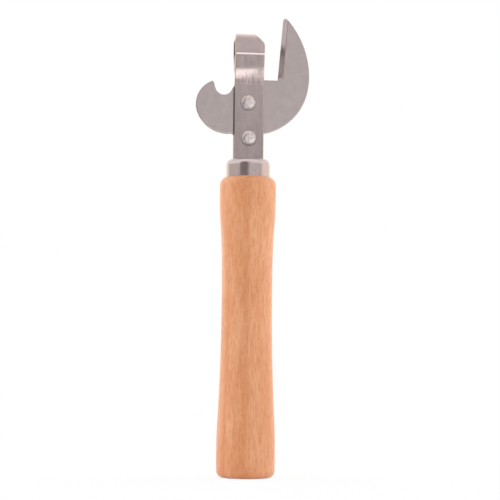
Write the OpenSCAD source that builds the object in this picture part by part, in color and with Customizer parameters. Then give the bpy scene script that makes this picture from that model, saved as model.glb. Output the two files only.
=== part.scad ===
// Manual can opener: a claw blade with a cap lifter and a rim guide, on a turned wooden handle.
// Z runs up the handle from the middle of its end face. The guide is on the -Y side of the
// blade plate, the claw is at +X and the cap lifter at -X. Lengths are in millimetres.

/* [Handle] */
// Height of the shoulder that the ferrule stands on
handle_len = 94.3; // [85:0.1:120]
// Diameter of the swell near the end face
butt_d = 18.4; // [17:0.1:24]
// Height of that swell above the end face
butt_swell_z = 7.5; // [5:0.1:15]
// Diameter of the waist
waist_d = 15.9; // [14.8:0.1:17]
// Height of the lower end of the waist
waist_low_z = 54; // [45:0.5:58]
// Height of the upper end of the waist
waist_high_z = 63; // [59:0.5:70]
// Diameter of the swell below the shoulder
top_d = 17.75; // [17:0.1:22]
// Distance of that swell below the shoulder
top_swell_drop = 5.4; // [4:0.1:9]
// Rounding of the edge of the end face
butt_edge_r = 2.2; // [0.8:0.1:4]
// Rounding of the shoulder
shoulder_r = 2.8; // [1:0.1:3.2]
// Depth that the pressed ferrule sinks into the shoulder
ferrule_bite = 0.15; // [0.05:0.05:0.5]

/* [Ferrule] */
// Outer diameter
ferrule_d = 13.9; // [13:0.1:15]
// Height
ferrule_h = 5.65; // [4:0.1:10]
// Sheet thickness
ferrule_wall = 0.6; // [0.3:0.05:0.9]
// Outer rounding of the top edge
ferrule_edge_r = 2; // [1:0.05:2.2]

/* [Blade plate] */
// Plate thickness
plate_t = 1.5; // [1:0.1:2.5]
// Width of the tang
tang_w = 9.4; // [9.3:0.1:10]
// Depth that the tang reaches into the handle, below the shoulder
tang_depth = 32; // [15:0.5:60]
// Length of the taper at the end of the tang
tang_taper = 8; // [2:0.5:12]
// Rounding where the tang runs into the plate
root_r = 0.8; // [0.3:0.1:2]
// Height of the rim stop, the plate's top edge, above the ferrule
stop_h = 25.4; // [24.4:0.05:27.8]
// Corner rounding at the hidden end of the rim stop
stop_corner_r = 0.6; // [0.2:0.1:1]

/* [Claw] */
// Distance of the cutting edge from the middle, at the rim stop
edge_x = 9.35; // [8.9:0.05:10.5]
// Lean of the cutting edge from upright, in degrees
edge_lean = 4.95; // [3:0.05:8]
// Distance of the claw's outermost point from the middle
claw_reach = 19.35; // [17.5:0.05:21]
// Height of that point above the ferrule
claw_h = 26.65; // [24.8:0.05:28.8]
// Radius of the claw's back, above that point
back_r = 27.25; // [24:0.05:30]
// Radius of the claw's belly, below that point
belly_r = 21.3; // [19:0.05:23]
// Radius of the claw's heel, which runs into the tang
heel_r = 17.5; // [15:0.05:18.5]
// Turn of the belly before the heel starts, in degrees
heel_turn = 17; // [8:0.5:30]
// Rounding of the claw's point
claw_tip_r = 0.6; // [0.3:0.05:0.9]
// Width of the bevel
bevel_w = 1.4; // [0.8:0.05:2]
// Thickness left at the cutting edge
edge_land = 0.25; // [0.1:0.05:0.6]
// Distance from the rim stop to the bottom of the bevel
bevel_rise = 0.9; // [0.3:0.05:4]

/* [Cap lifter] */
// Distance of the lifter's outermost point from the middle
lifter_reach = 16.7; // [15.5:0.05:18]
// Height of that point above the ferrule
lifter_h = 17.45; // [15.8:0.05:18.8]
// Radius of the lifter's outer side
lifter_r = 7.75; // [7:0.05:8.6]
// Radius of the lifter's underside, which runs into the tang
jaw_r = 10.4; // [8.8:0.05:12]
// Turn between the outermost point and the underside, in degrees
jaw_turn = 23.5; // [10:0.5:35]
// Radius of the notch
notch_r = 2.8; // [2.5:0.01:3.2]
// Distance of the notch's centre from the middle
notch_x = 7.92; // [7.6:0.01:8.4]
// Height of the notch's centre above the ferrule
notch_h = 23.25; // [22.8:0.05:24.2]
// Lean of the mouth on the lifter's side, in degrees
mouth_lean_out = 17; // [8:0.5:22]
// Lean of the mouth on the guide's side, in degrees
mouth_lean_in = 29; // [15:0.5:35]
// Rounding of the lifter's tip
lifter_tip_r = 0.5; // [0.2:0.05:0.8]

/* [Guide strap] */
// Strap width
strap_w = 9.3; // [8:0.1:9.4]
// Strap thickness
strap_t = 1.2; // [0.8:0.05:1.3]
// Distance of the first bend below the rim stop
bend_drop = 0.9; // [0:0.1:2]
// Angle by which the strap leans forward, in degrees
lean = 15; // [8:0.5:22]
// Inner radius of the bend into the lean
lean_r = 17; // [8:0.5:22]
// Length of the leaning face
lean_l = 4.2; // [2.5:0.05:5.5]
// Inner radius of the crease above the leaning face
crease_r = 1.8; // [0.4:0.1:3]
// Length of the upright face
face_l = 4.3; // [3:0.05:6]
// Inner radius of the fold at the top
fold_r = 0.3; // [0.2:0.05:0.8]
// Slope of the roof behind the fold, from level, in degrees
roof_slope = 16; // [15:1:35]
// Length of the roof
roof_l = 3.2; // [2.4:0.05:4]
// Inner radius of the bend from the roof to the back
back_bend_r = 0.5; // [0.2:0.05:1]
// Length of the upright back
back_l = 3.3; // [1.6:0.05:3.6]
// Angle by which the tail turns in again, in degrees
tail_turn = 22; // [18:1:30]
// Inner radius of the bend into the tail
tail_r = 2; // [0.5:0.1:3]
// Gap left between the tail's end and the strap
tail_gap = 0.5; // [0.4:0.01:0.7]
// Cut at the guide's top corner, on the claw's side
corner_cut = 2.95; // [1.5:0.05:4]
// Rounding below that cut
corner_r = 1.65; // [0.5:0.1:4]

/* [Rivets] */
// Shank diameter
rivet_d = 2.6; // [2:0.1:3.2]
// Diameter of the domed head
rivet_head_d = 4.6; // [4:0.1:6]
// Height of the domed head
rivet_head_h = 0.85; // [0.5:0.05:1.4]
// Diameter of the tail formed at the back
rivet_tail_d = 4.2; // [3.6:0.1:5.5]
// Height of that tail
rivet_tail_h = 0.7; // [0.4:0.05:1.2]
// Thickness of a head or tail at its rim
rivet_rim = 0.2; // [0.1:0.05:0.35]
// Height of the upper rivet above the ferrule
rivet_upper_h = 17.95; // [15.8:0.05:19.8]
// Offset of the upper rivet towards the lifter
rivet_upper_shift = 0.3; // [0:0.05:0.8]
// Height of the lower rivet above the ferrule
rivet_lower_h = 6.7; // [4.8:0.05:8.8]
// Offset of the lower rivet towards the lifter
rivet_lower_shift = 0.05; // [0:0.05:0.8]

/* [Fits] */
// Clearance on each side of the tang and the strap in the slot and the mortise
slot_fit = 0.1; // [0.05:0.05:0.2]
// Clearance round a rivet's shank
rivet_fit = 0.05; // [0.02:0.01:0.1]
// Clearance between the ferrule and the handle's neck
neck_fit = 0.05; // [0.02:0.01:0.1]

/* [Hidden] */
$fn = 96;

wood = [0.87, 0.62, 0.45];
steel = [0.68, 0.64, 0.63];
bright_steel = [0.78, 0.74, 0.73];

// Share of each handle curve that is hollow, before it turns over into the swell
butt_hollow = 0.76;
top_hollow = 0.62;
// Steps of the handle's section from end to end
section_steps = 96;
// How far cutters reach past what they cut
over = 1;
// How far pieces of one outline reach into each other
lap = 0.005;
// How far a corner patch reaches past the two faces beside it
patch_over = 0.05;
// Length of a cutter that goes right through
through = 60;

ferrule_bottom = handle_len - ferrule_bite;
head_z = ferrule_bottom + ferrule_h;
neck_r = ferrule_d / 2 - ferrule_wall - neck_fit;
neck_top = head_z - ferrule_wall - neck_fit;
neck_edge_r = ferrule_edge_r - ferrule_wall - neck_fit;

// The plate and the strap lie together, centred on the handle's axis
stack_t = plate_t + strap_t;
strap_front = -stack_t / 2;
plate_front = strap_front + strap_t;
plate_back = plate_front + plate_t;
tang_end = handle_len - tang_depth;
slot_w = tang_w + 2 * slot_fit;
slot_t = stack_t + 2 * slot_fit;

// Where the rivets' heads sit on the strap's front face
rivet_upper_at = [-rivet_upper_shift, strap_front, head_z + rivet_upper_h];
rivet_lower_at = [-rivet_lower_shift, strap_front, head_z + rivet_lower_h];

function polar(r, a) = [r * cos(a), r * sin(a)];
function unit(v) = v / norm(v);
// The point where a line from p along the unit vector d leaves the circle of radius r round c
function line_exit(p, d, c, r) =
    let (w = p - c, b = w * d) p + (sqrt(b * b - w * w + r * r) - b) * d;
// Radius of an arc that starts square to the radius and rises by rise over length run
function arc_radius(run, rise) = (run * run + rise * rise) / (2 * rise);

// The handle's curves: a hollow arc leaves each end of the waist and turns over into a full
// arc, which goes on past the swell to the end of the handle
top_swell_z = handle_len - top_swell_drop;
butt_run = waist_low_z - butt_swell_z;
butt_rise = (butt_d - waist_d) / 2;
top_run = top_swell_z - waist_high_z;
top_rise = (top_d - waist_d) / 2;
butt_full_r = arc_radius(butt_run * (1 - butt_hollow), butt_rise * (1 - butt_hollow));
top_full_r = arc_radius(top_run * (1 - top_hollow), top_rise * (1 - top_hollow));
function handle_r(z) =
    z < waist_low_z ? curve_r(waist_low_z - z, butt_run, butt_rise, butt_hollow)
    : z < waist_high_z ? waist_d / 2
    : curve_r(z - waist_high_z, top_run, top_rise, top_hollow);
function curve_r(x, run, rise, hollow) =
    let (hollow_r = arc_radius(run * hollow, rise * hollow),
        full_r = arc_radius(run * (1 - hollow), rise * (1 - hollow)))
    waist_d / 2 + (x < run * hollow ? hollow_r - sqrt(hollow_r * hollow_r - x * x)
        : rise - full_r + sqrt(full_r * full_r - (run - x) * (run - x)));

// The plate's outline and the strap's side view are drawn from the top of the ferrule, at
// head_z. Points of the outline are [x, z] from there.
tang_foot = tang_end - head_z;
edge_foot = [edge_x, stop_h];
edge_dir = [sin(edge_lean), cos(edge_lean)];
edge_in = [cos(edge_lean), -sin(edge_lean)];
back_c = [claw_reach - back_r, claw_h];
belly_c = [claw_reach - belly_r, claw_h];
heel_c = belly_c + polar(belly_r - heel_r, -heel_turn);
claw_tip_c = line_exit(edge_foot + claw_tip_r * edge_in, edge_dir, back_c, back_r - claw_tip_r);
lifter_c = [lifter_r - lifter_reach, lifter_h];
jaw_c = lifter_c + polar(jaw_r - lifter_r, jaw_turn);
notch_c = [-notch_x, notch_h];
mouth_out_dir = [-sin(mouth_lean_out), cos(mouth_lean_out)];
mouth_in_dir = [sin(mouth_lean_in), cos(mouth_lean_in)];
mouth_out_side = [-cos(mouth_lean_out), -sin(mouth_lean_out)];
mouth_in_side = [cos(mouth_lean_in), -sin(mouth_lean_in)];
mouth_out_foot = notch_c + (notch_r - lap) * mouth_out_side;
mouth_in_foot = notch_c + (notch_r - lap) * mouth_in_side;
mouth_l = 2 * notch_r;
lifter_tip_c = line_exit(mouth_out_foot + lifter_tip_r * mouth_out_side, mouth_out_dir,
    lifter_c, lifter_r - lifter_tip_r);
stop_end = mouth_in_foot + (stop_h - mouth_in_foot[1]) / cos(mouth_lean_in) * mouth_in_dir;
root_right_c = line_exit([tang_w / 2 + root_r, heel_c[1]], [0, -1], heel_c, heel_r + root_r);
root_left_c = line_exit([-tang_w / 2 - root_r, jaw_c[1]], [0, -1], jaw_c, jaw_r + root_r);
bevel_depth = plate_t - edge_land;

// The strap's runs from its foot to the tail, as [straight length, turn, inner radius of the
// turn]. A positive turn leans forward, to -Y. Points of the side view are [y, z].
loop_runs = [
    [stop_h - bend_drop - tang_foot, lean, lean_r],
    [lean_l, -lean, crease_r],
    [face_l, -90 - roof_slope, fold_r],
    [roof_l, roof_slope - 90, back_bend_r],
    [back_l, -tail_turn, tail_r]];
function turned(v, a) = [v[0] * cos(a) - v[1] * sin(a), v[0] * sin(a) + v[1] * cos(a)];
// Angle by which run n leans forward
function heading(n) = n == 0 ? 0 : heading(n - 1) + loop_runs[n - 1][1];
// Distance of the pivot of the turn after run n behind the strap's front face
function pivot_x(n) = loop_runs[n][1] > 0 ? -loop_runs[n][2] : strap_t + loop_runs[n][2];
// Start of run n on the strap's front face
function run_start(n) = n == 0 ? [strap_front, tang_foot]
    : turn_pivot(n - 1) + turned([-pivot_x(n - 1), 0], heading(n));
// A point x behind the front face and z past the start of the turn that ends run n
function at_turn(n, x, z) = run_start(n) + turned([x, loop_runs[n][0] + z], heading(n));
function turn_pivot(n) = at_turn(n, pivot_x(n), 0);
// Where the straight faces beside a turn would meet, x behind the front face
function mitre(n, x) = at_turn(n, x, abs(pivot_x(n) - x) * tan(abs(loop_runs[n][1]) / 2));

// The tail follows the last turn and stops short of the back of the leaning strap
turns = len(loop_runs);
tail_start = run_start(turns) + turned([strap_t, 0], heading(turns));
tail_stop_y = plate_front - lean_r * (1 - cos(lean)) + tail_gap;
tail_l = (tail_start[0] - tail_stop_y) / sin(tail_turn);
guide_top = turn_pivot(2)[1] + fold_r + strap_t;

// A wedge that covers a disc of radius r between two angles, at most 180 degrees apart
module wedge(r, from, to) {
    reach = 2 * r;
    middle = (from + to) / 2;
    polygon([[0, 0], polar(reach, from), polar(2 * reach, middle), polar(reach, to)]);
}

// The patch between a corner and the arc of radius r round c that rounds it.
// n1 and n2 are the unit vectors from c to the arc's two ends, counterclockwise.
module corner_patch(c, r, n1, n2) {
    reach = r + patch_over;
    difference() {
        polygon([c, c + reach * n1, c + reach * (n1 + n2) / (1 + n1 * n2), c + reach * n2]);
        translate(c) circle(r + lap);
    }
}

// Side view of the strap: straight faces that meet in mitres, which are then rounded
module bent_strip() {
    difference() {
        union() {
            polygon(concat([run_start(0), run_start(0) + [strap_t, 0]],
                [for (n = [0:turns - 1]) mitre(n, strap_t)],
                [for (x = [strap_t, 0]) run_start(turns) + turned([x, tail_l], heading(turns))],
                [for (n = [turns - 1:-1:0]) mitre(n, 0)]));
            for (n = [0:turns - 1]) turn_patch(n, loop_runs[n][2]);
        }
        for (n = [0:turns - 1]) turn_patch(n, loop_runs[n][2] + strap_t);
    }
}

// The patch between a mitre and the arc of radius r that rounds it, at the end of run n
module turn_patch(n, r) {
    side = [-sign(pivot_x(n)), 0];
    from = turned(side, heading(n));
    to = turned(side, heading(n + 1));
    if (loop_runs[n][1] > 0) corner_patch(turn_pivot(n), r, from, to);
    else corner_patch(turn_pivot(n), r, to, from);
}

// Half of the handle's section: the curve from swell to waist to swell, with both ends rounded
module handle_section() {
    butt_c = [butt_d / 2 - butt_full_r, butt_swell_z];
    top_c = [top_d / 2 - top_full_r, top_swell_z];
    butt_edge_c = line_exit([0, butt_edge_r], [1, 0], butt_c, butt_full_r - butt_edge_r);
    shoulder_c = line_exit([0, handle_len - shoulder_r], [1, 0], top_c, top_full_r - shoulder_r);
    difference() {
        polygon([[0, 0], for (i = [0:section_steps])
            let (z = handle_len * i / section_steps) [handle_r(z), z], [0, handle_len]]);
        corner_patch(butt_edge_c, butt_edge_r, [0, -1], unit(butt_edge_c - butt_c));
        corner_patch(shoulder_c, shoulder_r, unit(shoulder_c - top_c), [0, 1]);
    }
}

// Half of the section of a round block or hollow whose outer top edge is rounded
module rounded_section(r, h, edge_r) {
    difference() {
        square([r, h]);
        corner_patch([r, h] - edge_r * [1, 1], edge_r, [1, 0], [0, 1]);
    }
}

// Turned handle with a neck for the ferrule and a mortise for the tang
module handle() {
    seat_r = ferrule_d / 2 + neck_fit;
    color(wood) difference() {
        union() {
            difference() {
                rotate_extrude() handle_section();
                translate([0, 0, ferrule_bottom]) cylinder(r = seat_r, h = ferrule_bite + over);
            }
            translate([0, 0, ferrule_bottom - over]) rotate_extrude()
                rounded_section(neck_r, neck_top - ferrule_bottom + over, neck_edge_r);
        }
        translate([-slot_w / 2, -slot_t / 2, tang_end - slot_fit]) cube([slot_w, slot_t, through]);
    }
}

// Drawn steel cap over the handle's neck, slotted for the tang and the strap
module ferrule() {
    r = ferrule_d / 2;
    inner_h = ferrule_h - ferrule_wall;
    color(bright_steel) translate([0, 0, ferrule_bottom]) difference() {
        rotate_extrude() difference() {
            rounded_section(r, ferrule_h, ferrule_edge_r);
            translate([0, -over])
                rounded_section(r - ferrule_wall, inner_h + over, ferrule_edge_r - ferrule_wall);
        }
        translate([-slot_w / 2, -slot_t / 2, 0]) cube([slot_w, slot_t, ferrule_h + over]);
    }
}

// Claw side of the plate: heel, belly and back arcs that run into each other
module claw_outline() {
    intersection() {
        union() {
            translate(heel_c) circle(heel_r + lap);
            intersection() {
                translate(belly_c) circle(belly_r);
                translate(belly_c) wedge(belly_r, -heel_turn, 0);
            }
            intersection() {
                translate(back_c) circle(back_r, $fn = 2 * $fn);
                translate([0, claw_h]) square([claw_reach, back_r]);
            }
        }
        square([claw_reach, claw_h + back_r]);
    }
}

// Cap lifter side of the plate: an outer arc that runs into the underside
module lifter_outline() {
    translate(lifter_c) circle(lifter_r + lap);
    intersection() {
        translate(jaw_c) circle(jaw_r);
        translate(jaw_c) wedge(jaw_r, 180 + jaw_turn, 360);
    }
}

module tang_outline() {
    half = tang_w / 2;
    polygon([[-half / 2, tang_foot], [half / 2, tang_foot], [half, tang_foot + tang_taper],
        [half, stop_h], [-half, stop_h], [-half, tang_foot + tang_taper]]);
}

module plate_outline() {
    difference() {
        union() {
            tang_outline();
            claw_outline();
            lifter_outline();
            corner_patch(root_right_c, root_r, unit(heel_c - root_right_c), [-1, 0]);
            corner_patch(root_left_c, root_r, [1, 0], unit(jaw_c - root_left_c));
        }
        // Bottle cap notch and its mouth
        translate(notch_c) circle(notch_r);
        polygon([mouth_out_foot, mouth_out_foot + mouth_l * mouth_out_dir,
            mouth_in_foot + mouth_l * mouth_in_dir, mouth_in_foot]);
        corner_patch(lifter_tip_c, lifter_tip_r, -mouth_out_side, unit(lifter_tip_c - lifter_c));
        // Space above the rim stop, up to the cutting edge
        polygon([edge_foot, edge_foot + through * edge_dir,
            [-notch_x, stop_h + through], [-notch_x, stop_h]]);
        corner_patch(claw_tip_c, claw_tip_r, -edge_in, unit(claw_tip_c - back_c));
        corner_patch(stop_end - stop_corner_r * ([0, 1] - mouth_in_side) / (1 - mouth_in_side[1]),
            stop_corner_r, [0, 1], -mouth_in_side);
    }
}

// Coined bevel of the cutting edge, on the front of the plate
module bevel_cutter() {
    slope = bevel_depth / bevel_w;
    translate([edge_x, plate_front, head_z + stop_h]) rotate([0, edge_lean, 0])
        translate([0, 0, bevel_rise]) linear_extrude(back_r)
            polygon([[-over, -over], [bevel_w + over / slope, -over],
                [-over, bevel_depth + over * slope]]);
}

// Holes for both rivets through the plate and the strap
module rivet_holes() {
    for (at = [rivet_upper_at, rivet_lower_at]) translate(at) rotate([90, 0, 0])
        cylinder(d = rivet_d + 2 * rivet_fit, h = through, center = true);
}

// Stamped plate with the tang, the cap lifter and the claw in one piece
module blade_plate() {
    color(steel) difference() {
        translate([0, plate_back, head_z]) rotate([90, 0, 0])
            linear_extrude(plate_t) plate_outline();
        bevel_cutter();
        rivet_holes();
    }
}

// Corner cut of the guide, seen from the front: a slanted cut that is rounded at its foot
module guide_corner() {
    corner = [strap_w / 2, guide_top];
    slant = [1, 1] / sqrt(2);
    foot_c = corner - [corner_r, corner_cut + corner_r * (sqrt(2) - 1)];
    polygon([corner + [-corner_cut - over, over], corner + [over, over],
        corner + [over, -corner_cut - over]]);
    corner_patch(foot_c, corner_r, [1, 0], slant);
}

// Strap on the front of the plate, folded into a closed loop above the rim stop
module guide_strap() {
    color(steel) difference() {
        translate([-strap_w / 2, 0, head_z]) rotate([90, 0, 90])
            linear_extrude(strap_w) bent_strip();
        translate([0, 0, head_z]) rotate([90, 0, 0])
            linear_extrude(through, center = true) guide_corner();
        rivet_holes();
    }
}

// Half section of a low dome on a short rim
module dome_section(d, h) {
    rise = h - rivet_rim;
    r = arc_radius(d / 2, rise);
    intersection() {
        square([d / 2, h]);
        translate([0, h - r]) circle(r, $fn = 4 * $fn);
    }
}

// Rivet with its domed head on the strap and its formed tail on the back of the plate
module rivet(at) {
    color(bright_steel) translate(at) rotate([90, 0, 0]) rotate_extrude() {
        dome_section(rivet_head_d, rivet_head_h);
        translate([0, -stack_t]) square([rivet_d / 2, stack_t]);
        translate([0, -stack_t]) mirror([0, 1]) dome_section(rivet_tail_d, rivet_tail_h);
    }
}

module rivet_upper() { rivet(rivet_upper_at); }
module rivet_lower() { rivet(rivet_lower_at); }

handle();
ferrule();
blade_plate();
guide_strap();
rivet_upper();
rivet_lower();
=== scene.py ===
"""Looks of the manual can opener: turned wooden handle, steel ferrule, stamped blade plate,
folded guide strap and two rivets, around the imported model. Lengths are in metres."""

import math

import bmesh
import bpy
from mathutils import Matrix, Vector, noise


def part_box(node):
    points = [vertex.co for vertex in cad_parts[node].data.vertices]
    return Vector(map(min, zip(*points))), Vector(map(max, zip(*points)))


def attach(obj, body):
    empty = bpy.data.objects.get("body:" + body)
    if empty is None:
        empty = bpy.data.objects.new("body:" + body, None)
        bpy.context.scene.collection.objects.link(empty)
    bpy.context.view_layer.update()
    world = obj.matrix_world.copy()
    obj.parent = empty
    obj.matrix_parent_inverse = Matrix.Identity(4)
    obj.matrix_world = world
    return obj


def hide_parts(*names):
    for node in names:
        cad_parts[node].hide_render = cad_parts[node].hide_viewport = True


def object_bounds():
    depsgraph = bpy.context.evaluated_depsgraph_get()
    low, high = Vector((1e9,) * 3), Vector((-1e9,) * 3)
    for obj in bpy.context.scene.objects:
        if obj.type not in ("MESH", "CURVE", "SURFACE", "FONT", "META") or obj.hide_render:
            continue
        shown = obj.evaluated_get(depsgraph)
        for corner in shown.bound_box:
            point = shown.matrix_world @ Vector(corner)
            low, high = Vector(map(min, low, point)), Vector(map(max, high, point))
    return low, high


MM = 0.001

# ---------------------------------------------------------------- camera
CAMERA_DISTANCE = 560 * MM
CAMERA_TURN = 8.0  # degrees towards the cap lifter's side
CAMERA_HEIGHT = 38.5 * MM
CAMERA_AIM = Vector((0.848, 0, 71.24)) * MM
CAMERA_ROLL = 0.516  # degrees
CAMERA_LENS = 128.36
SENSOR_WIDTH = 36.0

# ---------------------------------------------------------------- sizes the pieces need
PLATE_EDGE_SOFTNESS = 0.15 * MM
RUBBED_RIM = 0.22 * MM
FERRULE_EDGE_SOFTNESS = 0.07 * MM
FERRULE_TOP_DULL = 1.7 * MM  # how far down from its top the ferrule is duller and carries its painted reflection tint
DULL_FADE = 0.8  # over how many millimetres that sets in
TOP_DULLNESS = 0.24  # roughness that the ferrule's top has more than its side
TOP_SHARE = 0.85  # how far the tone changes there to the top's painted reflection tint, greyer and bluer

STRAP_THICKNESS = 1.2 * MM
STRAP_EDGE_SOFTNESS = 0.14 * MM
STRAP_END_SOFTNESS = 0.08 * MM
STRAP_STEP = 0.5 * MM
BEND_STEPS = 16  # at least this many steps in each bend
# Straight length, turn in degrees and inner radius of each run; a positive turn leans forward
GUIDE_RUNS = [(62.0 * MM, 15, 17.0 * MM), (4.2 * MM, -15, 1.8 * MM), (4.3 * MM, -106, 0.3 * MM),
              (3.2 * MM, -74, 0.5 * MM), (3.3 * MM, -22, 2.0 * MM)]
TAIL_STOP = -0.229 * MM  # how far forward the tail reaches
STRAP_BEND_HEIGHT = 64.2 * MM  # the first bend's middle above the strap's foot
SCUFF_SLOPE = 0.62  # how the scuffed side of the first bend rises towards the claw
SCUFF_EDGE = (-1.1, 1.6)  # where the scuffing fades out, in millimetres from that rising line
SCUFF_RAGGED = 0.8  # how far its ragged edge strays, in millimetres
SCUFF_ROUGHNESS = 0.20
SCUFF_DEPTH = 0.036 * MM
SCUFF_GRAIN = (5.4, 0.3, 0.36)  # marks to the millimetre across, through and along the strip
# how dark the marks are painted: partly scratches, partly painted shade on the bend's highlight
SCUFF_MARK_SHADE = 0.66
SHADED_SIDE_RUNS = (0, 4, 5)  # straight runs and back of the loop whose sides get the dark edge copy as painted shade
SIDE_FACES = (3, 14)  # which faces, counted round the strip's section, are its two sides
CORNER_CUT = 2.95 * MM
CORNER_RADIUS = 1.65 * MM

RIVET_SHANK_RADIUS = 1.3 * MM
RIVET_SIDES = 64
HOLE_SIDES = 48
CROWN_STEPS = 12  # steps from a head's middle out to its rim
RIVET_TAIL_RADIUS = 2.1 * MM
RIVET_RIM = 0.2 * MM
RIVET_CROWN = 4.5  # how flat the middle of a head is: 2 is a plain dome
DENT_DEPTH = 0.026 * MM
DENT_SCALE = 1.7 / MM

JOIN_DISTANCE = 0.001 * MM  # points nearer than this are one
FLAT_ANGLE = 0.0005  # radians; faces that turn by less are one
GROUND_AREA = 4 * MM * MM  # a leaning face larger than this is the claw's ground bevel

# Painted shade: contact shadows along the strap's seam and round the foot of each rivet, in millimetres
SEAM_WIDTH = 0.26
SEAM_DARKNESS = 0.78
RING_WIDTH = 0.26
RING_DROP = 0.10  # the painted shadow ring sits a little low on each rivet, as the shadow under its head would
RING_DARKNESS = 0.55

# ---------------------------------------------------------------- colours and light
WHITE = (1.0, 1.0, 1.0, 1.0)
FILL_LIGHT = (0.828, 0.822, 0.822, 1.0)
NAP = 0.85  # how much the wood's fine nap shows along its outline
NAP_ROUGHNESS = 0.18
NAP_COLOUR = (1.0, 0.87, 0.75, 1.0)
PLATE_COLOUR = (0.400, 0.342, 0.337, 1.0)
PLATE_EDGE_COLOUR = (0.52, 0.43, 0.38, 1.0)
STRAP_COLOUR = (0.445, 0.366, 0.358, 1.0)
# Colour of the painted contact shadows
PAINTED_SHADE_COLOUR = (0.055, 0.042, 0.038, 1.0)
# Dark edge colour: real sheared edges, and painted shade on the strap's sides that lie in shadow
SHEARED_AND_SHADED_COLOUR = (0.21, 0.165, 0.145, 1.0)
GROUND_COLOUR = (0.366, 0.31, 0.306, 1.0)
# A lighter copy of the strap's edge, painted as a highlight where its sides catch the light
LIT_EDGE_COLOUR = (0.50, 0.42, 0.39, 1.0)
WORN_SMOOTHER = 0.06  # how much less rough a worn edge is
FERRULE_COLOUR = (0.484, 0.396, 0.380, 1.0)
# Painted reflection: the greyer, bluer tint the ferrule's top shows for the light it reflects
FERRULE_TOP_REFLECTION_TINT = (0.469, 0.425, 0.459, 1.0)
RIVET_COLOUR = (0.73, 0.64, 0.64, 1.0)
# What metal sees of the light tent: the front wall, and patches on it as colour,
# (turn from, to, softness) and (rise from, to, softness) in degrees. Turn 0 is straight ahead.
TENT_FRONT = (0.66, 0.66, 0.66, 1.0)
TENT_PATCHES = [
    ((1.13, 1.13, 1.13, 1.0), (-180, 180, 1), (8.9, 92, 1.3)),
    ((1.55, 1.44, 1.30, 1.0), (-180, 180, 1), (52, 92, 7)),
    ((0.50, 0.50, 0.50, 1.0), (-180, 180, 1), (-92, -20, 2)),
    ((0.61, 0.60, 0.59, 1.0), (-180, 180, 1), (-24, -17.5, 0.6)),
    ((0.335, 0.325, 0.335, 1.0), (-50, -5, 1.5), (-32, 50, 4)),
    ((2.42, 2.46, 2.46, 1.0), (-5, 50, 5), (-18.3, -4.5, 0.6)),
    ((2.1, 1.96, 1.76, 1.0), (-5, 50, 5), (-4.5, -1, 1.0)),
    ((2.5, 2.5, 2.75, 1.0), (-5, 50, 5), (-1, 1.6, 0.9)),
]
TENT_SIDES = 1.28  # how much brighter the front wall grows towards the sides
TENT_BACK = (1.52, 1.41, 1.28, 1.0)
BACK_LEAN = 0.55  # the back wall comes further round on the claw's side
BACK_EDGE = (-0.08, 0.42)
SOFTBOX_DISTANCE = 0.60
SOFTBOX_WATTS = 4  # for each square metre of a softbox at level 1
# Name, turn and rise in degrees, width, height, and level; level 1 renders white as white
SOFTBOXES = [
    ("right_softbox", 104, 8, 0.50, 0.60, 0.9),
    ("left_softbox", -112, 8, 0.50, 0.60, 0.9),
    ("roof_softbox", 170, 62, 0.60, 0.45, 0.6),
]
FLOOR_RADIUS = 0.25
FLOOR_DROP = 0.02 * MM  # how far the floor lies under the handle's end
FLOOR_COLOUR = (0.97, 0.97, 0.97, 1.0)
FLOOR_WHITE = 0.88  # share of plain white that the camera and metal see in it


# ---------------------------------------------------------------- node helpers
def new_material(name):
    """An empty node material with its output and Principled shader."""
    material = bpy.data.materials.new(name)
    material.use_nodes = True
    nodes = material.node_tree.nodes
    nodes.clear()
    output = nodes.new("ShaderNodeOutputMaterial")
    shader = nodes.new("ShaderNodeBsdfPrincipled")
    material.node_tree.links.new(shader.outputs["BSDF"], output.inputs["Surface"])
    return material, shader


def add_node(tree, kind, settings=None, **inputs):
    """A node with its settings, and its inputs set to numbers or linked to sockets."""
    node = tree.nodes.new(kind)
    for name, value in (settings or {}).items():
        setattr(node, name, value)
    for name, value in inputs.items():
        socket = node.inputs[int(name[1:])] if name[1:].isdigit() else node.inputs[name.replace("_", " ")]
        if isinstance(value, bpy.types.NodeSocket):
            tree.links.new(value, socket)
        else:
            socket.default_value = value
    return node


def math_of(tree, operation, a, b=0.0, clamp=False):
    node = add_node(tree, "ShaderNodeMath", {"operation": operation, "use_clamp": clamp}, i0=a, i1=b)
    return node.outputs[0]


def ramp_of(tree, value, low, high, out_low=0.0, out_high=1.0, smooth=True):
    """value mapped from low..high to out_low..out_high, smoothly and held at the ends."""
    kind = "SMOOTHSTEP" if smooth else "LINEAR"
    node = add_node(tree, "ShaderNodeMapRange", {"interpolation_type": kind},
                    Value=value, From_Min=low, From_Max=high, To_Min=out_low, To_Max=out_high)
    return node.outputs["Result"]


def window_of(tree, value, low, high, soft):
    """1 where value is between low and high, with soft edges."""
    rise = ramp_of(tree, value, low - soft, low + soft)
    fall = ramp_of(tree, value, high - soft, high + soft, 1.0, 0.0)
    return math_of(tree, "MULTIPLY", rise, fall)


def mix_of(tree, factor, a, b, blend="MIX"):
    """Mix of two colours."""
    node = tree.nodes.new("ShaderNodeMix")
    node.data_type, node.blend_type = "RGBA", blend
    for socket, value in ((node.inputs[0], factor), (node.inputs[6], a), (node.inputs[7], b)):
        if isinstance(value, bpy.types.NodeSocket):
            tree.links.new(value, socket)
        else:
            socket.default_value = value
    return node.outputs[2]


def place_of(tree, scale=(1, 1, 1), rotation=(0, 0, 0), location=(0, 0, 0)):
    """Object coordinates in millimetres, then scaled, turned and moved."""
    coordinates = tree.nodes.new("ShaderNodeTexCoord").outputs["Object"]
    mapping = add_node(tree, "ShaderNodeMapping", Vector=coordinates,
                       Scale=[s / MM for s in scale], Rotation=rotation, Location=location)
    return mapping.outputs["Vector"]


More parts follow.
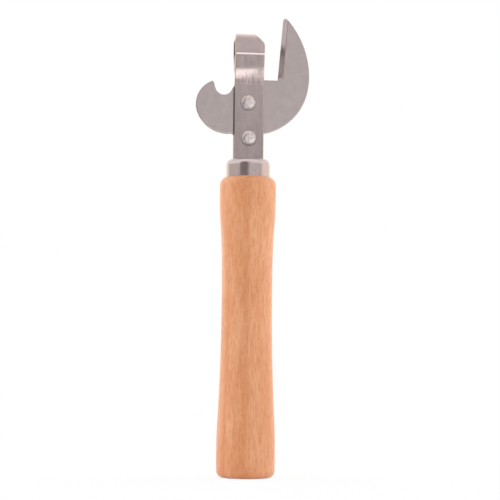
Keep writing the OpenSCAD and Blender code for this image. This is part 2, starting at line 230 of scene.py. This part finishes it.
def noise_of(tree, vector, scale, detail=2.0, roughness=0.5, distortion=0.0):
    node = add_node(tree, "ShaderNodeTexNoise", Vector=vector, Scale=scale, Detail=detail,
                    Roughness=roughness, Distortion=distortion)
    return node.outputs["Fac"]


def bump_of(tree, height, strength, distance, normal=None):
    node = add_node(tree, "ShaderNodeBump", Height=height, Strength=strength, Distance=distance)
    if normal is not None:
        tree.links.new(normal, node.inputs["Normal"])
    return node.outputs["Normal"]


def colour(red, green, blue):
    """A colour given in sRGB numbers from 0 to 255."""
    def linear(c):
        c /= 255
        return c / 12.92 if c <= 0.04045 else ((c + 0.055) / 1.055) ** 2.4
    return (linear(red), linear(green), linear(blue), 1.0)


# ---------------------------------------------------------------- finishes
def beech_finish():
    """Sanded and sealed beech: dense short fibres up the handle, small flecks, orange growth
    rings, and a faint nap that catches light along its outline."""
    material, shader = new_material("sealed_beech")
    tree = material.node_tree
    pale, warm, orange, dark, fleck = (colour(240, 175, 130), colour(232, 160, 112), colour(210, 126, 68),
                                       colour(206, 126, 78), colour(180, 100, 56))
    # Growth rings round a pith that lies off to one side, bent by slow noise
    bend = noise_of(tree, place_of(tree, (1, 1, 0.12)), 0.11, 2.0)
    away = add_node(tree, "ShaderNodeVectorMath", {"operation": "LENGTH"},
                    i0=place_of(tree, (1, 1, 0.02), location=(11, -16, 0))).outputs["Value"]
    rings = math_of(tree, "SINE", math_of(tree, "ADD", math_of(tree, "MULTIPLY", away, 1.3),
                                          math_of(tree, "MULTIPLY", bend, 13.0)))
    rings = ramp_of(tree, rings, -0.2, 1.0)
    # Slow drift of tone over the handle
    drift = noise_of(tree, place_of(tree, (1, 1, 0.28)), 0.16, 3.0, 0.55)
    # Fibres: streaks a third of a millimetre wide and a few long, and finer ones between them
    fibres = noise_of(tree, place_of(tree, (1, 1, 0.10)), 2.3, 4.0, 0.70, 0.4)
    fine = noise_of(tree, place_of(tree, (1, 1, 0.14)), 4.6, 2.0, 0.6)
    # Flecks: short dark dashes of the wood's rays
    dashes = noise_of(tree, place_of(tree, (1.5, 1.5, 0.42)), 1.6, 1.0, 0.4)
    dashes = ramp_of(tree, dashes, 0.56, 0.70)
    tone = mix_of(tree, ramp_of(tree, drift, 0.34, 0.68), warm, pale)
    tone = mix_of(tree, math_of(tree, "MULTIPLY", rings, 0.34), tone, orange)
    tone = mix_of(tree, ramp_of(tree, fibres, 0.42, 0.62, 0.0, 0.54), tone, dark)
    tone = mix_of(tree, ramp_of(tree, fine, 0.32, 0.52, 0.42, 0.0), tone, pale)
    tone = mix_of(tree, math_of(tree, "MULTIPLY", dashes, 0.17), tone, fleck)
    tree.links.new(tone, shader.inputs["Base Color"])
    rough = ramp_of(tree, fibres, 0.3, 0.7, 0.40, 0.54)
    tree.links.new(rough, shader.inputs["Roughness"])
    shader.inputs["Specular IOR Level"].default_value = 0.42
    shader.inputs["Coat Weight"].default_value = 0.14
    shader.inputs["Coat Roughness"].default_value = 0.28
    shader.inputs["Sheen Weight"].default_value = NAP
    shader.inputs["Sheen Roughness"].default_value = NAP_ROUGHNESS
    shader.inputs["Sheen Tint"].default_value = NAP_COLOUR
    pores = math_of(tree, "ADD", math_of(tree, "MULTIPLY", fibres, 0.7),
                    math_of(tree, "MULTIPLY", dashes, -0.5))
    pores = math_of(tree, "ADD", pores, math_of(tree, "MULTIPLY", fine, 0.3))
    tree.links.new(bump_of(tree, pores, 0.35, 0.05 * MM), shader.inputs["Normal"])
    return material


def steel_finish(name, base, edge, rough, streaks, streak_scale, mottle=0.10, relief=0.02 * MM,
                 cloud_scale=0.35, uneven=0.03, bend_middle=None, painted_shade_at=None, dull_and_tinted_above=None):
    """Rolled steel: a satin face with faint streaks along the strip and cloudy patches,
    rubbed brighter and smoother along its edges. uneven is how far its roughness varies over
    the face. Above the height given last it is duller, and its tone is tinted greyer and bluer
    there as a painted reflection."""
    material, shader = new_material(name)
    tree = material.node_tree
    lines = noise_of(tree, place_of(tree, streak_scale), 1.0, 3.0, 0.6)
    cloud = noise_of(tree, place_of(tree), cloud_scale, 4.0, 0.6)
    grain = noise_of(tree, place_of(tree), 9.0, 2.0, 0.6)
    worn = tree.nodes.new("ShaderNodeAttribute")
    worn.attribute_name = "wear"
    worn = math_of(tree, "MULTIPLY", worn.outputs["Fac"], ramp_of(tree, cloud, 0.3, 0.6, 0.55, 1.0))
    dull = tuple(c * (1 - mottle) for c in base[:3]) + (1.0,)
    tone = mix_of(tree, ramp_of(tree, cloud, 0.35, 0.65), dull, base)
    tone = mix_of(tree, ramp_of(tree, lines, 0.35, 0.65, streaks, 0.0), tone, dull)
    tone = mix_of(tree, worn, tone, edge)
    spread = ramp_of(tree, grain, 0.3, 0.7, rough - uneven, rough + uneven)
    spread = math_of(tree, "ADD", spread, ramp_of(tree, lines, 0.3, 0.7, -uneven, uneven))
    spread = math_of(tree, "SUBTRACT", spread, math_of(tree, "MULTIPLY", worn, WORN_SMOOTHER))
    ridges = math_of(tree, "ADD", math_of(tree, "MULTIPLY", lines, 0.8),
                     math_of(tree, "MULTIPLY", grain, 0.35))
    normal = bump_of(tree, ridges, 0.16, relief)
    # Near the top: rougher, and tinted greyer and bluer as a painted reflection
    if dull_and_tinted_above is not None:
        height = add_node(tree, "ShaderNodeSeparateXYZ", Vector=place_of(tree)).outputs["Z"]
        dull_and_tinted = ramp_of(tree, height, dull_and_tinted_above / MM, dull_and_tinted_above / MM + DULL_FADE)
        spread = math_of(tree, "ADD", spread, math_of(tree, "MULTIPLY", dull_and_tinted, TOP_DULLNESS))
        tone = mix_of(tree, math_of(tree, "MULTIPLY", dull_and_tinted, TOP_SHARE), tone, FERRULE_TOP_REFLECTION_TINT)
    if bend_middle is not None:
        tone, spread, normal = press_marks(tree, tone, spread, normal, bend_middle)
    # Painted shade: a contact-shadow mask mixes the shade colour into the tone
    if painted_shade_at is not None:
        tone = mix_of(tree, painted_shade_at(tree, cloud), tone, PAINTED_SHADE_COLOUR)
    tree.links.new(tone, shader.inputs["Base Color"])
    tree.links.new(spread, shader.inputs["Roughness"])
    tree.links.new(normal, shader.inputs["Normal"])
    shader.inputs["Metallic"].default_value = 1.0
    return material


def press_marks(tree, tone, spread, normal, middle):
    """Where the press bent the strap: drawn bright on the lifter's upper side, and scuffed
    satin across the rest, with short marks along the strip that are darkened in colour, partly as
    scratches and partly as painted shade dimming the bend's highlight towards its lower right."""
    bent = tree.nodes.new("ShaderNodeAttribute")
    bent.attribute_name = "bent"
    bent = bent.outputs["Fac"]
    marks = noise_of(tree, place_of(tree, SCUFF_GRAIN), 1.0, 3.0, 0.65)
    from_middle = place_of(tree, location=(0, 0, -middle / MM))
    parts = add_node(tree, "ShaderNodeSeparateXYZ", Vector=from_middle).outputs
    above = math_of(tree, "SUBTRACT", parts["Z"], math_of(tree, "MULTIPLY", parts["X"], SCUFF_SLOPE))
    above = math_of(tree, "ADD", above, ramp_of(tree, marks, 0.25, 0.75, -SCUFF_RAGGED, SCUFF_RAGGED))
    scuffed = math_of(tree, "MULTIPLY", bent, ramp_of(tree, above, *SCUFF_EDGE, 1.0, 0.0))
    spread = math_of(tree, "ADD", spread, math_of(tree, "MULTIPLY", scuffed, SCUFF_ROUGHNESS))
    # Partly painted shade: the marks darken the tone where the bend's highlight fades
    marks_and_shade = math_of(tree, "MULTIPLY", scuffed, ramp_of(tree, marks, 0.40, 0.54, SCUFF_MARK_SHADE, 0.0))
    tone = mix_of(tree, marks_and_shade, tone, SHEARED_AND_SHADED_COLOUR)
    # The marks rise and sink about the surface, so that they fade out without a step
    ridges = math_of(tree, "MULTIPLY", math_of(tree, "SUBTRACT", marks, 0.5), bent)
    return tone, spread, bump_of(tree, ridges, 1.0, SCUFF_DEPTH, normal)


def seam_shade(tree, cloud):
    """Painted shade on the plate's front: a contact shadow in the corner along the strap on the lifter's
    side.
    """
    parts = add_node(tree, "ShaderNodeSeparateXYZ", Vector=place_of(tree)).outputs
    strap_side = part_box("guide_strap")[0].x / MM
    plate_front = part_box("blade_plate")[0].y / MM
    seam = window_of(tree, parts["X"], strap_side - SEAM_WIDTH, strap_side + SEAM_WIDTH, 0.07)
    front = ramp_of(tree, parts["Y"], plate_front + 0.1, plate_front + 0.3, 1.0, 0.0)
    seam = math_of(tree, "MULTIPLY", seam, front)
    return math_of(tree, "MULTIPLY", seam, ramp_of(tree, cloud, 0.3, 0.6, SEAM_DARKNESS * 0.8, SEAM_DARKNESS))


def rivet_ring_shade(tree, cloud):
    """Painted shade on the strap: a thin contact-shadow ring at the foot of each rivet's head."""
    parts = add_node(tree, "ShaderNodeSeparateXYZ", Vector=place_of(tree)).outputs
    rings = None
    for node in ("rivet_lower", "rivet_upper"):
        low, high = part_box(node)
        middle, radius = (low + high) / 2 / MM, (high.x - low.x) / 2 / MM
        across = math_of(tree, "SUBTRACT", parts["X"], middle.x)
        up = math_of(tree, "SUBTRACT", parts["Z"], middle.z - RING_DROP)
        away = math_of(tree, "SQRT", math_of(tree, "ADD", math_of(tree, "MULTIPLY", across, across),
                                             math_of(tree, "MULTIPLY", up, up)))
        ring = ramp_of(tree, away, radius + 0.05, radius + RING_WIDTH, RING_DARKNESS, 0.0)
        rings = ring if rings is None else math_of(tree, "MAXIMUM", rings, ring)
    return math_of(tree, "MULTIPLY", rings, ramp_of(tree, cloud, 0.3, 0.6, 0.6, 1.0))


# ---------------------------------------------------------------- mesh helpers
def merged_copy(node):
    """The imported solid's mesh with its loose triangles joined and its flat faces whole."""
    bm = bmesh.new()
    bm.from_mesh(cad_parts[node].data)
    bmesh.ops.remove_doubles(bm, verts=bm.verts, dist=JOIN_DISTANCE)
    bmesh.ops.dissolve_limit(bm, angle_limit=FLAT_ANGLE, verts=bm.verts, edges=bm.edges)
    bm.normal_update()
    return bm


def soften(bm, width, segments=3, above=28):
    """Rounds every edge that turns by more than some degrees, and returns the points on them."""
    corners = [e for e in bm.edges if len(e.link_faces) == 2
               and e.calc_face_angle(0) > math.radians(above)]
    done = bmesh.ops.bevel(bm, geom=corners, offset=width, offset_type="OFFSET", segments=segments,
                           profile=0.5, affect="EDGES", clamp_overlap=True)
    bm.normal_update()
    return set(v for f in done["faces"] if f.is_valid for v in f.verts)


def mesh_of(bm, name, materials):
    mesh = bpy.data.meshes.new(name)
    bm.to_mesh(mesh)
    bm.free()
    for material in materials:
        mesh.materials.append(material)
    return mesh


def join_near_points(mesh):
    """Joins points that cutting has left almost in one place."""
    bm = bmesh.new()
    bm.from_mesh(mesh)
    bmesh.ops.remove_doubles(bm, verts=bm.verts, dist=JOIN_DISTANCE)
    bm.to_mesh(mesh)
    bm.free()


def finished(name, mesh, slot_name, *nodes, smooth_below=32):
    """A piece in place: smooth but for its corners, riding on the body, in place of its nodes."""
    mesh.polygons.foreach_set("use_smooth", [True] * len(mesh.polygons))
    mesh.set_sharp_from_angle(angle=math.radians(smooth_below))
    mesh = baked_down(mesh, ("WEIGHTED_NORMAL", {"keep_sharp": True, "weight": 50}, {}))
    mesh.name = name
    piece = bpy.data.objects.new(name, mesh)
    bpy.context.scene.collection.objects.link(piece)
    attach(piece, "root")
    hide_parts(*nodes)
    return piece


def baked_down(mesh, *modifiers):
    """A mesh with modifiers applied. Each is a kind, its settings and its inputs by socket name."""
    holder = bpy.data.objects.new(mesh.name + "_holder", mesh)
    bpy.context.scene.collection.objects.link(holder)
    for kind, settings, inputs in modifiers:
        modifier = holder.modifiers.new(kind.lower(), kind)
        for name, value in settings.items():
            setattr(modifier, name, value)
        for name, value in inputs.items():
            modifier[socket_id(modifier.node_group, name)] = value
    depsgraph = bpy.context.evaluated_depsgraph_get()
    result = bpy.data.meshes.new_from_object(holder.evaluated_get(depsgraph))
    bpy.data.objects.remove(holder)
    return result


def socket_id(tree, name):
    return next(item.identifier for item in tree.interface.items_tree if item.name == name)


def lathe(profile, steps, centre, axis, side):
    """A closed shape turned from (radius, place along the axis) points; it starts and ends on the axis."""
    other = axis.cross(side)
    bm = bmesh.new()
    rows = []
    for radius, along in profile:
        middle = centre + axis * along
        turns = [2 * math.pi * i / steps for i in range(steps)] if radius > 0 else [0]
        rows.append([bm.verts.new(middle + radius * (math.cos(a) * side + math.sin(a) * other))
                     for a in turns])
    for low, high in zip(rows, rows[1:]):
        for i in range(steps):
            j = (i + 1) % steps
            corners = [low[i % len(low)], low[j % len(low)], high[j % len(high)], high[i % len(high)]]
            bm.faces.new([v for k, v in enumerate(corners) if v not in corners[:k]])
    bmesh.ops.recalc_face_normals(bm, faces=bm.faces)
    return bm


# ---------------------------------------------------------------- pieces
def make_blade_plate(face, sheared_and_shaded, ground):
    """The stamped plate: soft punched edges, a rubbed rim round both faces and a ground bevel."""
    bm = merged_copy("blade_plate")
    worn = soften(bm, PLATE_EDGE_SOFTNESS)
    for axis in (Vector((0, -1, 0)), Vector((0, 1, 0))):
        flat = [f for f in bm.faces if f.normal.dot(axis) > 0.999]
        bmesh.ops.inset_region(bm, faces=flat, thickness=RUBBED_RIM, use_boundary=True,
                               use_even_offset=True)
    wear = bm.verts.layers.float.new("wear")
    for v in bm.verts:
        v[wear] = 1.0 if v in worn else 0.0
    for f in bm.faces:
        if abs(f.normal.y) < 0.3:
            f.material_index = 1
        elif f.normal.x < -0.4 and f.calc_area() > GROUND_AREA:
            f.material_index = 2
    return finished("blade_plate_piece", mesh_of(bm, "blade_plate_piece", [face, sheared_and_shaded, ground]),
                    "plate_steel", "blade_plate")


def along(lean):
    """Direction up the strap in (y, z) where it leans forward by that angle."""
    return Vector((-math.sin(lean), math.cos(lean)))


def behind(lean):
    """Direction through the strap, from its front to its back, in (y, z)."""
    return Vector((math.cos(lean), math.sin(lean)))


def guide_stations(foot):
    """(point on the front face as (y, z), lean, whether it is in the first bend, number of its
    run), foot to tail."""
    point, lean, stations = foot, 0.0, []

    def straight(length, run):
        steps = max(1, round(length / STRAP_STEP))
        stations.extend((point + along(lean) * length * i / steps, lean, 0.0, run) for i in range(steps))
        return point + along(lean) * length

    for run, (length, turn, radius) in enumerate(GUIDE_RUNS):
        point = straight(length, run)
        pivot_depth = -radius if turn > 0 else STRAP_THICKNESS + radius
        pivot = point + behind(lean) * pivot_depth
        steps = max(BEND_STEPS, abs(turn) // 3)
        for i in range(steps):
            a = lean + math.radians(turn) * i / steps
            stations.append((pivot - behind(a) * pivot_depth, a, 1.0 if turn > 0 else 0.0, run))
        lean += math.radians(turn)
        point = pivot - behind(lean) * pivot_depth
    inner_y = point.x + STRAP_THICKNESS * math.cos(lean)
    point = straight(abs((inner_y - TAIL_STOP) / math.sin(lean)), len(GUIDE_RUNS))
    stations.append((point, lean, 0.0, len(GUIDE_RUNS)))
    return stations


def strip_section(half):
    """The strip's section as (x, depth, worn, on a face) points, going round it once."""
    soft, thick = STRAP_EDGE_SOFTNESS, STRAP_THICKNESS
    inner = half - soft
    section = []
    for x, depth, start in ((inner, soft, -90), (inner, thick - soft, 0),
                            (-inner, thick - soft, 90), (-inner, soft, 180)):
        for step in range(4):
            a = math.radians(start + 30 * step)
            section.append((x + soft * math.cos(a), depth + soft * math.sin(a), 1.0))
        if start in (0, 180):
            flat = thick if start == 0 else 0.0
            side = 1 if start == 0 else -1
            section += [(side * (inner - RUBBED_RIM), flat, 0.0), (0.0, flat, 0.0),
                        (-side * (inner - RUBBED_RIM), flat, 0.0)]
    return section


def corner_pull(z, top):
    """How far the cut top corner brings in the strap's edge on the claw's side at height z."""
    rise = z - (top - CORNER_CUT - CORNER_RADIUS * (math.sqrt(2) - 1))
    if rise <= 0:
        return 0.0
    if rise < CORNER_RADIUS / math.sqrt(2):
        return CORNER_RADIUS - math.sqrt(CORNER_RADIUS ** 2 - rise ** 2)
    return CORNER_CUT - (top - z)


def make_guide_strap(face, lit_edge, sheared_and_shaded):
    """The strap: one strip with rounded edges, bent along its runs and cut off at the top corner."""
    low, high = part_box("guide_strap")
    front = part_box("blade_plate")[0].y - STRAP_THICKNESS
    section = strip_section(high.x)
    bm = bmesh.new()
    wear = bm.verts.layers.float.new("wear")
    bent = bm.verts.layers.float.new("bent")
    rows = []
    stations = guide_stations(Vector((front, low.z)))
    for number, (point, lean, _, _) in enumerate(stations):
        near_bend = max(station[2] for station in stations[max(0, number - 1):number + 2])
        row = []
        for x, depth, worn in section:
            y, z = point + behind(lean) * depth
            v = bm.verts.new((x - (corner_pull(z, high.z) if x > 0 else 0.0), y, z))
            v[wear], v[bent] = worn, near_bend
            row.append(v)
        rows.append(row)
    count = len(section)
    for row, next_row, station in zip(rows, rows[1:], stations):
        # One strip's sides: painted dark as shade on the listed runs, and light as a highlight on the rest
        side = 2 if station[3] in SHADED_SIDE_RUNS and not station[2] else 1
        for i in range(count):
            j = (i + 1) % count
            f = bm.faces.new((row[i], row[j], next_row[j], next_row[i]))
            f.material_index = side if i in SIDE_FACES else 0
    for row in (rows[0], rows[-1]):
        bm.faces.new(row).material_index = 2
    bmesh.ops.recalc_face_normals(bm, faces=bm.faces)
    soften(bm, STRAP_END_SOFTNESS, 2, above=70)
    strap = mesh_of(bm, "guide_strap_piece", [face, lit_edge, sheared_and_shaded])
    cutters = []
    for node in ("rivet_lower", "rivet_upper"):
        low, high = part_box(node)
        centre = (low + high) / 2
        reach = 6 * MM
        pin = lathe([(0, -reach), (RIVET_SHANK_RADIUS, -reach), (RIVET_SHANK_RADIUS, reach), (0, reach)],
                    HOLE_SIDES, Vector((centre.x, 0, centre.z)), Vector((0, 1, 0)), Vector((1, 0, 0)))
        cutter = bpy.data.objects.new(node + "_cutter", mesh_of(pin, node + "_cutter", []))
        bpy.context.scene.collection.objects.link(cutter)
        cutters.append(cutter)
    strap = baked_down(strap, *[("BOOLEAN", {"operation": "DIFFERENCE", "object": c}, {}) for c in cutters])
    for cutter in cutters:
        bpy.data.objects.remove(cutter)
    join_near_points(strap)
    return finished("guide_strap_piece", strap, "strap_steel", "guide_strap")


def make_ferrule(drawn):
    """The drawn cap, with its slot edges and its lower rim just broken."""
    bm = merged_copy("ferrule")
    soften(bm, FERRULE_EDGE_SOFTNESS, 2, above=50)
    return finished("ferrule_piece", mesh_of(bm, "ferrule_piece", [drawn]), "ferrule_steel", "ferrule")


def rivet_blank():
    """One rivet at its place across the plate, at height 0: a low domed head with a rounded rim,
    the shank, and the flatter tail formed on the back."""
    low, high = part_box("rivet_lower")
    strap_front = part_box("blade_plate")[0].y - STRAP_THICKNESS
    plate_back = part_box("blade_plate")[1].y
    head_radius = (high.x - low.x) / 2

    def dome(radius, face_y, tip_y):
        """From the tip to the rim's foot on the face it sits on."""
        out = math.copysign(1, tip_y - face_y)
        rise = abs(tip_y - face_y) - RIVET_RIM
        crown = [(radius * i / CROWN_STEPS, tip_y - out * rise * (i / CROWN_STEPS) ** RIVET_CROWN)
                 for i in range(CROWN_STEPS)]
        corner = 0.08 * MM
        rim_y = face_y + out * RIVET_RIM
        return crown + [(radius - corner, rim_y + out * corner * 0.45), (radius - corner * 0.3, rim_y),
                        (radius, rim_y - out * corner), (radius, face_y)]

    head = dome(head_radius, strap_front, low.y)
    tail = dome(RIVET_TAIL_RADIUS, plate_back, high.y)
    profile = head + [(RIVET_SHANK_RADIUS, strap_front), (RIVET_SHANK_RADIUS, plate_back)] + tail[::-1]
    bm = lathe(profile, RIVET_SIDES, Vector((0, 0, 0)), Vector((0, 1, 0)), Vector((1, 0, 0)))
    # Faint dents where the head was struck and the tail set
    for v in bm.verts:
        if not strap_front - RIVET_RIM < v.co.y < plate_back + RIVET_RIM:
            v.co.y += DENT_DEPTH * (noise.noise(v.co * DENT_SCALE) - 0.5) * math.copysign(1, -v.co.y)
    return bm


def rivet_row_tree(material):
    """Geometry nodes that set one blank at each rivet's height, each turned its own way."""
    tree = bpy.data.node_groups.new("rivet_row", "GeometryNodeTree")
    interface = tree.interface
    interface.new_socket("Blank", in_out="INPUT", socket_type="NodeSocketGeometry")
    for name in ("Lowest Rivet", "Step To Next"):
        interface.new_socket(name, in_out="INPUT", socket_type="NodeSocketVector")
    for name, default in (("Rivets", 2), ("Turn Seed", 0)):
        interface.new_socket(name, in_out="INPUT", socket_type="NodeSocketInt").default_value = default
    interface.new_socket("Rivets Set", in_out="OUTPUT", socket_type="NodeSocketGeometry")
    given = tree.nodes.new("NodeGroupInput").outputs
    row = add_node(tree, "GeometryNodeMeshLine", {"mode": "OFFSET"}, Count=given["Rivets"],
                   Start_Location=given["Lowest Rivet"], Offset=given["Step To Next"])
    turn = add_node(tree, "FunctionNodeRandomValue", {"data_type": "FLOAT"}, Seed=given["Turn Seed"])
    turn.inputs[3].default_value = 2 * math.pi
    axis = add_node(tree, "ShaderNodeCombineXYZ", Y=turn.outputs[1])
    set_out = add_node(tree, "GeometryNodeInstanceOnPoints", Points=row.outputs["Mesh"],
                       Instance=given["Blank"], Rotation=axis.outputs[0])
    real = add_node(tree, "GeometryNodeRealizeInstances", Geometry=set_out.outputs["Instances"])
    steel = add_node(tree, "GeometryNodeSetMaterial", Geometry=real.outputs["Geometry"], Material=material)
    output = tree.nodes.new("NodeGroupOutput")
    tree.links.new(steel.outputs["Geometry"], output.inputs["Rivets Set"])
    return tree


def make_rivets(material):
    """Both rivets: one blank, set in a row by geometry nodes."""
    lower, upper = [(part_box(n)[0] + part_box(n)[1]) / 2 for n in ("rivet_lower", "rivet_upper")]
    lower.y = upper.y = 0
    inputs = {"Lowest Rivet": lower, "Step To Next": upper - lower, "Rivets": 2, "Turn Seed": 4}
    blank = mesh_of(rivet_blank(), "rivet_blank", [])
    rivets = baked_down(blank, ("NODES", {"node_group": rivet_row_tree(material)}, inputs))
    rivets.name = "rivets_piece"
    return finished("rivets_piece", rivets, "rivet_steel", "rivet_lower", "rivet_upper")


# ---------------------------------------------------------------- stage, lights and camera
def make_world():
    """White backdrop to the camera. Metal sees a light tent: pale walls, bright sides and roof,
    a darker opening beside the camera and a bright front edge of the table."""
    world = bpy.data.worlds.new("light_tent")
    bpy.context.scene.world = world
    world.use_nodes = True
    tree = world.node_tree
    tree.nodes.clear()
    direction = tree.nodes.new("ShaderNodeTexCoord").outputs["Generated"]
    parts = add_node(tree, "ShaderNodeSeparateXYZ", Vector=direction).outputs
    turn = math_of(tree, "ARCTAN2", parts["X"], math_of(tree, "MULTIPLY", parts["Y"], -1.0))
    turn = math_of(tree, "DEGREES", turn)
    rise = math_of(tree, "DEGREES", math_of(tree, "ARCSINE", parts["Z"]))
    tent = TENT_FRONT
    for patch, turns, rises in TENT_PATCHES:
        shape = math_of(tree, "MULTIPLY", window_of(tree, turn, *turns), window_of(tree, rise, *rises))
        tent = mix_of(tree, shape, tent, patch)
    sides = ramp_of(tree, math_of(tree, "ABSOLUTE", turn), 0, 75, 1.0, TENT_SIDES, smooth=False)
    tent = mix_of(tree, 1.0, tent, add_node(tree, "ShaderNodeCombineColor", Red=sides, Green=sides,
                                            Blue=sides).outputs[0], blend="MULTIPLY")
    rear = math_of(tree, "ADD", math_of(tree, "MULTIPLY", parts["X"], BACK_LEAN), parts["Y"])
    tent = mix_of(tree, ramp_of(tree, rear, *BACK_EDGE), tent, TENT_BACK)
    path = tree.nodes.new("ShaderNodeLightPath").outputs
    shiny = math_of(tree, "ADD", path["Is Glossy Ray"], path["Is Transmission Ray"], clamp=True)
    seen = mix_of(tree, shiny, FILL_LIGHT, tent)
    seen = mix_of(tree, path["Is Camera Ray"], seen, WHITE)
    background = add_node(tree, "ShaderNodeBackground", Color=seen)
    output = tree.nodes.new("ShaderNodeOutputWorld")
    tree.links.new(background.outputs[0], output.inputs["Surface"])


def make_floor():
    """A round pale floor that keeps a faint shadow and is white to the camera and in metal."""
    material = bpy.data.materials.new("white_table")
    material.use_nodes = True
    tree = material.node_tree
    tree.nodes.clear()
    matt = add_node(tree, "ShaderNodeBsdfDiffuse", Color=FLOOR_COLOUR)
    white = add_node(tree, "ShaderNodeEmission", Color=WHITE)
    path = tree.nodes.new("ShaderNodeLightPath").outputs
    seen = math_of(tree, "ADD", path["Is Camera Ray"], path["Is Glossy Ray"])
    seen = math_of(tree, "ADD", seen, path["Is Transmission Ray"], clamp=True)
    mix = add_node(tree, "ShaderNodeMixShader", Fac=math_of(tree, "MULTIPLY", seen, FLOOR_WHITE))
    tree.links.new(matt.outputs[0], mix.inputs[1])
    tree.links.new(white.outputs[0], mix.inputs[2])
    output = tree.nodes.new("ShaderNodeOutputMaterial")
    tree.links.new(mix.outputs[0], output.inputs["Surface"])
    bm = bmesh.new()
    bmesh.ops.create_circle(bm, cap_ends=True, segments=96, radius=FLOOR_RADIUS)
    bmesh.ops.translate(bm, verts=bm.verts, vec=(0, 0, -FLOOR_DROP))
    floor = bpy.data.objects.new("floor", mesh_of(bm, "floor", [material]))
    bpy.context.scene.collection.objects.link(floor)


def make_softbox(name, turn, rise, width, height, level):
    """A rectangular light that faces the middle of the object."""
    middle = (cad_box[0] + cad_box[1]) / 2
    turn, rise = math.radians(turn), math.radians(rise)
    away = Vector((math.sin(turn) * math.cos(rise), -math.cos(turn) * math.cos(rise), math.sin(rise)))
    lamp = bpy.data.lights.new(name, "AREA")
    lamp.shape, lamp.size, lamp.size_y = "RECTANGLE", width, height
    lamp.energy = SOFTBOX_WATTS * level * width * height
    box = bpy.data.objects.new(name, lamp)
    facing = away.to_track_quat("Z", "Y").to_matrix().to_4x4()
    box.matrix_world = Matrix.Translation(middle + away * SOFTBOX_DISTANCE) @ facing
    box.visible_camera = box.visible_glossy = False
    bpy.context.scene.collection.objects.link(box)


def make_camera():
    camera_data = bpy.data.cameras.new("camera")
    camera_data.lens, camera_data.sensor_width = CAMERA_LENS, SENSOR_WIDTH
    camera = bpy.data.objects.new("camera", camera_data)
    turn = math.radians(CAMERA_TURN)
    place = Vector((-CAMERA_DISTANCE * math.sin(turn), -CAMERA_DISTANCE * math.cos(turn), CAMERA_HEIGHT))
    aim = (CAMERA_AIM - place).normalized().to_track_quat("-Z", "Y").to_matrix().to_4x4()
    camera.matrix_world = Matrix.Translation(place) @ aim @ Matrix.Rotation(math.radians(CAMERA_ROLL), 4, "Z")
    bpy.context.scene.collection.objects.link(camera)
    bpy.context.scene.camera = camera


# ---------------------------------------------------------------- the scene
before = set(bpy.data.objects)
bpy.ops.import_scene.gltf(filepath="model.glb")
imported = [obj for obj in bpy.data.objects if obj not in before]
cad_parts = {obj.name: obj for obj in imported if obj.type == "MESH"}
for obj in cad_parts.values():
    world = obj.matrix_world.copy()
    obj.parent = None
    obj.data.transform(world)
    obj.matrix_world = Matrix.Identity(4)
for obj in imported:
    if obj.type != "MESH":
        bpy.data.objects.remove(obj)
cad_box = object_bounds()

wood = beech_finish()
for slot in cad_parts["handle"].material_slots:
    slot.material = wood
plate_face = steel_finish("rolled_plate_steel", PLATE_COLOUR, PLATE_EDGE_COLOUR, rough=0.27,
                          streaks=0.45, streak_scale=(1.3, 1.3, 0.22), mottle=0.08,
                          relief=0.006 * MM, uneven=0.0, painted_shade_at=seam_shade)
strap_face = steel_finish("rolled_strap_steel", STRAP_COLOUR, PLATE_EDGE_COLOUR, rough=0.13,
                          streaks=0.35, streak_scale=(3.2, 0.12, 0.16), mottle=0.09, painted_shade_at=rivet_ring_shade,
                          bend_middle=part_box("guide_strap")[0].z + STRAP_BEND_HEIGHT)
# Edges in two copies: a dark one for sheared edges and painted shade, a light one as a painted highlight
sheared_and_shaded = steel_finish("sheared_and_shaded_edge_steel", SHEARED_AND_SHADED_COLOUR, SHEARED_AND_SHADED_COLOUR, rough=0.36,
                       streaks=0.4, streak_scale=(4.0, 0.6, 4.0))
lit_edge = steel_finish("lit_edge_steel", LIT_EDGE_COLOUR, LIT_EDGE_COLOUR, rough=0.22,
                    streaks=0.3, streak_scale=(0.4, 0.4, 3.0))
ground = steel_finish("ground_bevel_steel", GROUND_COLOUR, PLATE_EDGE_COLOUR, rough=0.24,
                      streaks=0.4, streak_scale=(0.3, 0.3, 6.0))
drawn = steel_finish("drawn_ferrule_steel", FERRULE_COLOUR, FERRULE_COLOUR, rough=0.17,
                     streaks=0.5, streak_scale=(2.6, 2.6, 0.15),
                     dull_and_tinted_above=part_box("ferrule")[1].z - FERRULE_TOP_DULL)
set_steel = steel_finish("rivet_steel", RIVET_COLOUR, RIVET_COLOUR, rough=0.46,
                         streaks=0.6, streak_scale=(3.6, 3.6, 3.6), mottle=0.40,
                         relief=0.10 * MM, cloud_scale=1.8)
make_blade_plate(plate_face, sheared_and_shaded, ground)
make_guide_strap(strap_face, lit_edge, sheared_and_shaded)
make_ferrule(drawn)
make_rivets(set_steel)

make_world()
make_floor()
for softbox in SOFTBOXES:
    make_softbox(*softbox)
make_camera()
bpy.context.scene.view_settings.view_transform = "Standard"
